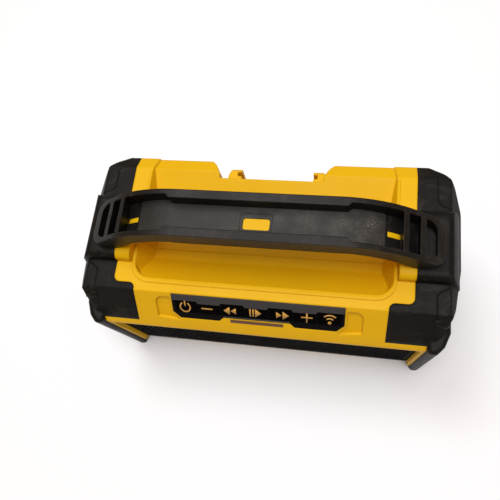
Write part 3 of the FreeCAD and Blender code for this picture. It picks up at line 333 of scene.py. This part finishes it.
# %% Lip of the finger well
WELL_HALF = 84.2
WELL_FRONT = -33.7
WELL_ROUND = 11.0
WELL_REAR = 44.0
TOP = 110.0
well_path = rounded([(-WELL_HALF, WELL_REAR), (-WELL_HALF, WELL_FRONT), (WELL_HALF, WELL_FRONT),
                     (WELL_HALF, WELL_REAR)], WELL_ROUND, 13, closed=False)
front_share = np.clip((WELL_FRONT + WELL_ROUND - well_path[:, 1]) / WELL_ROUND, 0, 1)
lip_width = 2.2 + 1.7 * front_share
lip_profile = np.array([(-0.04, TOP - 0.9), (-0.04, TOP - 0.1), (0.1, TOP + 0.22), (0.55, TOP + 0.5),
                        (0.88, TOP + 0.6), (0.97, TOP + 0.45), (1.0, TOP - 0.2), (0.3, TOP - 0.9)])
make("well_lip", *carried(well_path, lip_profile, lip_width, closed=False), yellow_abs, "yellow_housing")

# %% [markdown]
# ## The edge of the tray's window
# The yellow core shows through a window in the liner. The liner's rubber turns down round it, more
# at the rear than at the front, so the opening is a narrow rounded rectangle.

# %% Rubber edge of the window
LINER_TOP = 141.0
opening = rounded([(-7.7, -7.7), (8.6, -7.7), (8.6, -0.4), (-7.7, -0.4)], 1.5, 7)
outer_edge = rounded([(-10.2, -9.4), (10.2, -9.4), (10.2, 3.6), (-10.2, 3.6)], 1.5, 7)
rim_steps = np.array([(0.0, -0.45), (0.0, 0.05), (0.06, 0.22), (0.2, 0.3), (0.8, 0.26), (1.0, -0.1),
                      (0.5, -0.4)])
edge_plan = opening[:, None, :] + (outer_edge - opening)[:, None, :] * rim_steps[None, :, :1]
edge_high = np.broadcast_to(LINER_TOP + rim_steps[:, 1], edge_plan.shape[:2])[..., None]
edge_points = np.concatenate([edge_plan, edge_high], axis=-1).reshape(-1, 3)
make("window_edge", edge_points, grid_faces(len(opening), len(rim_steps), True), liner_rubber, "liner_rubber")

# %% [markdown]
# ## The grille
# The real grille is thin steel sheet with close six-sided holes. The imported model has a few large
# holes in their place, so a finer sheet takes its room. Every cell of the honeycomb is a ring
# between the cell's own outline and its hole. Cells share their outlines, so the rings join to one
# sheet, which then gets its thickness. A folded hem closes the edge, and is wider at the foot,
# where the sheet stands in front of the housing's wall.

# %% Perforated sheet
CELL_PITCH = 3.6
CELL_WEB = 0.9
SHEET = 0.8
HEM = 3.4
FOOT = 8.2
FOOT_LAP = 1.5
low, high = (np.array(corner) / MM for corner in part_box("speaker_grille"))
print("grille room", low.round(1), high.round(1))


def honeycomb(low_x, high_x, low_z, high_z):
    """Rings at centres (i + j/2) * pitch, j * pitch * 0.866; corners lie every 60 degrees."""
    rows = np.arange(-20, 21)
    columns = np.arange(-60, 61)
    column, row = np.meshgrid(columns, rows)
    x = (low_x + high_x) / 2 + (column + (row % 2) / 2) * CELL_PITCH
    z = (low_z + high_z) / 2 + row * CELL_PITCH * math.sqrt(3) / 2
    inside = (x > low_x) & (x < high_x) & (z > low_z) & (z < high_z)
    centre = np.stack([x[inside], z[inside]], axis=1)
    angle = np.radians(30 + 60 * np.arange(6))
    spoke = np.stack([np.cos(angle), np.sin(angle)], axis=1)
    outer = centre[:, None] + spoke * CELL_PITCH / math.sqrt(3)
    inner = centre[:, None] + spoke * (CELL_PITCH - CELL_WEB) / math.sqrt(3)
    flat = np.concatenate([outer, inner], axis=1).reshape(-1, 2)
    side = np.arange(6)
    ring = np.stack([side, (side + 1) % 6, (side + 1) % 6 + 6, side + 6], axis=1)
    faces = (ring[None] + 12 * np.arange(len(centre))[:, None, None]).reshape(-1, 4)
    return flat, faces.tolist(), len(centre)


sheet_flat, sheet_faces, cells = honeycomb(low[0] + HEM / 2, high[0] - HEM / 2,
                                           low[2] + FOOT - FOOT_LAP, high[2] - HEM / 2)
sheet_points = np.stack([sheet_flat[:, 0], np.full(len(sheet_flat), low[1] + 0.5), sheet_flat[:, 1]], axis=1)
sheet = make("grille_sheet", sheet_points, sheet_faces, grille_coat, "grille_metal")
thick = sheet.modifiers.new("sheet metal", "SOLIDIFY")
thick.thickness = SHEET * MM
thick.offset = 0
hem_path = rounded([(low[0], low[2]), (high[0], low[2]), (high[0], high[2]), (low[0], high[2])], 3.8, 7)
hem_profile = np.array([(0.0, 0.2), (-0.12, 0.0), (-0.9, 0.0), (-1.0, 0.25), (-1.0, 1.2),
                        (-0.9, 1.45), (0.0, 1.45)])
foot_share = np.clip((low[2] + 4 - hem_path[:, 1]) / 4, 0, 1)
hem_points, hem_faces = carried(hem_path, hem_profile, HEM + (FOOT - HEM) * foot_share)
hem_place = np.stack([hem_points[:, 0], low[1] + hem_points[:, 2], hem_points[:, 1]], axis=1)
make("grille_hem", hem_place, hem_faces, grille_coat, "grille_metal")
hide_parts("speaker_grille")
print(cells, "cells")

# %% [markdown]
# ## The key panel
# Above the keys the bezel carries a brow, a shallow wedge that leans back and catches the light,
# while the polished keys below it stay nearly black. The brow's charcoal is painted highlight: the
# bezel's black made lighter where its ledge catches the light. Its lower edge steps down over the
# two volume keys and the play key, which are shorter. Everything here is drawn in the panel's own
# frame: x to the right, y up the slope, z out of it.

# %% The panel's own frame, from the slope between the lip and the flat top
SLOPE_TOP = Vector((0, -43, 110))
SLOPE_LEAN = math.atan2(110 - 91, 58 - 43)
slope_turn = np.array(Matrix.Rotation(SLOPE_LEAN, 3, "X"))
KEY_PITCH = 15.6
KEY_PROUD = 0.5
TALL = ("power_button", "previous_button", "next_button", "wireless_button")
print("panel leans", round(math.degrees(SLOPE_LEAN), 1), "degrees")


def on_panel(points):
    """Panel coordinates in millimetres to the radio's: turned about X, then moved to the slope's top."""
    return np.asarray(points) @ slope_turn.T + np.array(SLOPE_TOP)


# %% Brow of the bezel
BROW_HALF = 56.2
BROW_TOP = 0.7
BROW_OVER_TALL = 5.1
BROW_OVER_SHORT = 6.9


def brow():
    """Wedge section at each x; its lower edge steps down the slope over each shorter key."""
    starts = (np.arange(len(KEYS)) - 3) * KEY_PITCH
    edges = np.array([BROW_OVER_TALL if key in TALL else BROW_OVER_SHORT for key in KEYS])
    steps = np.repeat(starts[:-1] + KEY_PITCH / 2, 2) + np.tile([-0.5, 0.5], len(KEYS) - 1)
    x = np.concatenate([[-BROW_HALF], steps, [BROW_HALF]])
    low_edge = np.concatenate([edges[:1], np.stack([edges[:-1], edges[1:]], axis=1).ravel(), edges[-1:]])
    top = np.full(len(x), BROW_TOP)
    section = [(top, np.full(len(x), 0.05)), (top + 0.3, np.full(len(x), 0.2)),
               (low_edge - 0.5, np.full(len(x), 1.05)), (low_edge - 0.1, np.full(len(x), 0.9)),
               (low_edge, np.full(len(x), 0.05)), (low_edge, np.full(len(x), -0.3)),
               (top, np.full(len(x), -0.3))]
    points = np.stack([np.stack([x, -down, out], axis=1) for down, out in section], axis=1)
    faces = grid_faces(len(x), len(section))
    last = (len(x) - 1) * len(section)
    faces += [list(range(len(section))), list(range(last, last + len(section)))]
    return on_panel(points.reshape(-1, 3)), faces


make("bezel_brow", *brow(), brow_painted_highlight, "bezel_black", smooth_below=20.0)


# %% Raised line between the middle keys and the lens
LINE_HALF = 22.0
LINE_TAPER = 0.6
LINE_DOWN = 16.5


def raised_line():
    """One rounded section at four places along the panel, smaller at both ends."""
    x = np.array([-LINE_HALF, LINE_TAPER - LINE_HALF, LINE_HALF - LINE_TAPER, LINE_HALF])
    size = np.array([0.4, 1.0, 1.0, 0.4])[:, None]
    section = np.array([(-0.35, -0.2), (-0.3, 0.25), (-0.12, 0.4), (0.12, 0.4), (0.3, 0.25), (0.35, -0.2)])
    along = np.broadcast_to(x[:, None], (len(x), len(section)))
    points = np.stack([along, section[:, 0] * size - LINE_DOWN, section[:, 1] * size], axis=-1)
    last = (len(x) - 1) * len(section)
    faces = grid_faces(len(x), len(section))
    faces += [list(range(len(section))), list(range(last, last + len(section)))]
    return on_panel(points.reshape(-1, 3)), faces


# The raised line takes the brow's charcoal, a painted highlight on the black bezel.
make("bezel_line", *raised_line(), brow_painted_highlight, "bezel_black")

# %% [markdown]
# ### Signs on the keys
# Each key carries one printed sign in a tan gold. They are the common signs for power, less, back,
# play, forward, more and a radio link. A sign is a few flat outlines, filled and laid on its key
# with the thickness of a film of ink. The signs spread a little from the middle of the panel, so
# the outer ones stand off the middles of their keys.

# %% Printed signs
SIGN_LEVEL = -10.7
SIGN_STRETCH = (1.3, 1.45)
FILM = 0.06
sign_ink = moulded("printing_ink_gold", "#c9973f", "#c18f38", 0.5, 0.5, 0.004, edge_mm=0.05)


def sign(name, key, loops, middle):
    """Outlines of (x, y) about the key's middle, lifted just off the key and given their film."""
    sizes = [len(loop) for loop in loops]
    flat = np.concatenate([np.asarray(loop, dtype=float) for loop in loops])
    flat = flat * SIGN_STRETCH + (middle, SIGN_LEVEL)
    points = np.concatenate([flat, np.full((len(flat), 1), KEY_PROUD + 0.04)], axis=1)
    ends = np.cumsum(sizes)
    faces = [list(range(end - size, end)) for size, end in zip(sizes, ends)]
    piece = make(name, on_panel(points), faces, sign_ink, "key_black", key + "_body")
    film = piece.modifiers.new("film", "SOLIDIFY")
    film.thickness = FILM * MM
    film.offset = 0
    return piece


def arc(radius, start, stop, wide, steps=28):
    """A band along a circle from one angle to the other: outer edge out, inner edge back."""
    angle = np.radians(np.linspace(start, stop, steps))
    ring = np.stack([np.cos(angle), np.sin(angle)], axis=1)
    return np.concatenate([ring * (radius + wide / 2), ring[::-1] * (radius - wide / 2)])


def bar(x, y, wide, high):
    """An upright rectangle about its middle."""
    return [(x - wide / 2, y - high / 2), (x + wide / 2, y - high / 2),
            (x + wide / 2, y + high / 2), (x - wide / 2, y + high / 2)]


def plus(reach, wide):
    """A cross with four equal arms, as one outline of twelve corners."""
    a, b = reach, wide / 2
    return [(b, b), (b, a), (-b, a), (-b, b), (-a, b), (-a, -b), (-b, -b), (-b, -a), (b, -a),
            (b, -b), (a, -b), (a, b)]


def wedge(x, wide, high):
    """A triangle with its tip to the right for a positive width, to the left for a negative one."""
    return [(x - wide / 2, -high / 2), (x + wide / 2, 0), (x - wide / 2, high / 2)]


SIGNS = {
    "power_button": [arc(2.6, 120, 420, 0.8, 48), bar(0, 2.2, 0.8, 3.4)],
    "volume_down_button": [bar(0, 0, 5.8, 0.75)],
    "previous_button": [wedge(-1.5, -3.2, 4.4), wedge(1.9, -2.8, 3.4)],
    "play_pause_button": [bar(-2.9, 0, 0.8, 4.2), bar(-1.4, 0, 0.8, 4.2), wedge(1.2, 3.2, 4.6)],
    "next_button": [wedge(-1.9, 2.8, 3.4), wedge(1.5, 3.2, 4.4)],
    "volume_up_button": [plus(2.8, 0.75)],
    "wireless_button": [arc(0.45, 0, 350, 0.9, 20) - np.array([0, 1.9]),
                        arc(2.4, 48, 132, 0.75) - np.array([0, 1.9]),
                        arc(4.2, 48, 132, 0.75) - np.array([0, 1.9])],
}
OFF_MIDDLE = (-0.5, -1.3, -1.8, 0.0, 1.8, 1.5, 0.3)
for place, key in enumerate(KEYS):
    sign(key + "_sign", key, SIGNS[key], (place - 3) * KEY_PITCH + OFF_MIDDLE[place])

# %% [markdown]
# ## Knobs on the bumpers
# A small rounded knob stands on each front shoulder, as if the rubber were locked through the
# housing there. It is the upper half of a stretched ball, laid square to the slope.

# %% Locking knobs
KNOB_X = 113.0
KNOB_DOWN = 7.2
KNOB_LONG = 5.4
KNOB_WIDE = 2.9
KNOB_HIGH = 1.9
KNOB_SUNK = 0.5
KNOB_CROWN = 1.45
KNOB_FULLNESS = 0.8
KNOB_TURN = 0.42


def knob(name, side):
    """Half of an ellipsoid: rings shrink with the cosine of the height angle; its base is sunk."""
    around = np.linspace(0, 2 * math.pi, 28, endpoint=False)
    rise = np.linspace(0, math.pi / 2, 9)[:-1]
    ring, turn = np.meshgrid(rise, around, indexing="ij")
    across = KNOB_LONG * np.cos(ring) ** KNOB_FULLNESS * np.cos(turn)
    along = KNOB_WIDE * np.cos(ring) ** KNOB_FULLNESS * np.sin(turn)
    out = KNOB_HIGH * np.sin(ring) - KNOB_SUNK
    tilt = KNOB_TURN * side
    x = side * KNOB_X + across * math.cos(tilt) + along * math.sin(tilt)
    y = -KNOB_DOWN - across * math.sin(tilt) + along * math.cos(tilt)
    crown = [(side * KNOB_X, -KNOB_DOWN, KNOB_CROWN)]
    points = np.concatenate([np.stack([x, y, out], axis=-1).reshape(-1, 3), crown])
    faces = grid_faces(len(rise), len(around))
    last = (len(rise) - 1) * len(around)
    top = len(points) - 1
    faces += [[last + k, last + (k + 1) % len(around), top] for k in range(len(around))]
    faces += [list(range(len(around)))]
    make(name, on_panel(points), faces, bumper_tpe, "bumper_rubber")


knob("locking_knob_left", -1)
knob("locking_knob_right", 1)

# %% [markdown]
# ## Piping on the bumpers
# A thin raised line runs along the outer shoulder of each bumper, steps in before and behind the
# handle's foot, and goes on down the slope. It is a round section carried along a path. The rubber
# there is three flats, so its height is the lowest of three planes.

# %% Piping
PIPE = 0.6
PIPE_SUNK = 0.12
PIPE_POINTS = 160
SHOULDER_START = 118.0
SHOULDER_FALL = 10 / 7.5
SLOPE_START = -43.0
SLOPE_FALL = 19 / 15
pipe_path = rounded([(109.5, 45.5), (109.8, 30.5), (112.0, 27.8), (116.6, 26.0), (118.8, 21.5),
                     (118.8, -20.8),
                     (116.6, -26.4), (112.0, -29.0), (109.8, -31.2), (110.2, -52.0)], 1.6, 6, closed=False)


def piping(name, side):
    """Even points along the path, each a circle: place + radius * (cos across, sin upward)."""
    step = np.linalg.norm(np.diff(pipe_path, axis=0), axis=1)
    run = np.concatenate([[0], np.cumsum(step)])
    even = np.linspace(0, run[-1], PIPE_POINTS)
    path = np.stack([np.interp(even, run, pipe_path[:, 0]), np.interp(even, run, pipe_path[:, 1])], axis=1)
    across = outward(path, closed=False)
    around = np.linspace(0, 2 * math.pi, 10, endpoint=False)
    shoulder = TOP - (path[:, 0] - SHOULDER_START) * SHOULDER_FALL
    slope = TOP - (SLOPE_START - path[:, 1]) * SLOPE_FALL
    height = np.minimum(TOP, np.minimum(shoulder, slope)) - PIPE_SUNK
    x = side * (path[:, :1] + across[:, :1] * PIPE * np.cos(around))
    y = path[:, 1:] + across[:, 1:] * PIPE * np.cos(around)
    z = height[:, None] + PIPE * np.sin(around)
    last = (PIPE_POINTS - 1) * len(around)
    faces = grid_faces(PIPE_POINTS, len(around))
    faces += [list(range(len(around))), list(range(last, last + len(around)))]
    make(name, np.stack([x, y, z], axis=-1).reshape(-1, 3), faces, bumper_tpe, "bumper_rubber")


piping("piping_left", -1)
piping("piping_right", 1)

# %% [markdown]
# ## Studio
# A pale floor takes the shadow. A soft lamp almost overhead gives most of the light, and reaches
# into the finger well in front of the handle. A second one at the rear left draws the handle's
# edges. The sky is weak and warm, which deepens the front slopes, and it is white to the camera.

# %% Floor
def studio_floor(reach=0.7):
    """A square floor at the level of the feet."""
    mesh = bpy.data.meshes.new("floor")
    corners = [(-reach, -reach, 0), (reach, -reach, 0), (reach, reach, 0), (-reach, reach, 0)]
    mesh.from_pydata(corners, [], [(0, 1, 2, 3)])
    made = bpy.data.objects.new("floor", mesh)
    scene.collection.objects.link(made)
    material, tree, shader, place = blank("matt_paper_white")
    shader.inputs["Base Color"].default_value = srgb("#f4f8ff")
    shader.inputs["Roughness"].default_value = 0.9
    coat(material, made)
    return made


studio_floor()


# %% Lamps and sky
def lamp(name, place, aim, size, watts, code):
    """A square soft lamp at one place, turned to another."""
    data = bpy.data.lights.new(name, "AREA")
    data.size = size
    data.energy = watts
    data.color = srgb(code)[:3]
    made = bpy.data.objects.new(name, data)
    made.location = place
    made.rotation_euler = (Vector(aim) - Vector(place)).to_track_quat("-Z", "Y").to_euler()
    scene.collection.objects.link(made)
    return made


lamp("top_lamp", (0.2, -0.18, 2.2), (0, 0, 0.08), 1.0, 34.0, "#fdfdff")
lamp("rear_lamp", (-0.45, 0.55, 1.6), (0, 0, 0.08), 0.7, 10.0, "#fdfdff")
world = bpy.data.worlds.new("studio")
scene.world = world
world.use_nodes = True
sky = world.node_tree
background = sky.nodes["Background"]
rays = add(sky, "ShaderNodeLightPath")
strength = add(sky, "ShaderNodeMix", {"Factor": rays.outputs["Is Camera Ray"], "A": 0.26, "B": 1.0},
               data_type="FLOAT")
colour = add(sky, "ShaderNodeMix", {"Factor": rays.outputs["Is Camera Ray"], "A": srgb("#ffd49a"),
                                    "B": srgb("#ffffff")}, data_type="RGBA")
sky.links.new(strength.outputs["Result"], background.inputs["Strength"])
sky.links.new(colour.outputs["Result"], background.inputs["Color"])

# %% [markdown]
# ## Camera
# The photograph looks down from the front right at about 69 degrees. The place and the turn of the
# camera come from matching the radio's symmetric corners with the picture.

# %% Camera at the photograph's viewpoint
view_right = Vector((0.98108807, 0.11869599, -0.15289688))
view_up = Vector((-0.06459894, 0.94540766, 0.31942344))
view_back = Vector((0.18246416, -0.30350555, 0.93519581))
camera_data = bpy.data.cameras.new("camera")
camera_data.sensor_width = 36
camera_data.lens = 37.616
camera_data.clip_start = 0.01
camera = bpy.data.objects.new("camera", camera_data)
turn = Matrix((view_right, view_up, view_back)).transposed().to_4x4()
camera.matrix_world = Matrix.Translation(Vector((54.91, -113.89, 429.21)) * MM) @ turn
scene.collection.objects.link(camera)
scene.camera = camera
scene.view_settings.view_transform = "Standard"
print("camera at", [round(v, 3) for v in camera.location])
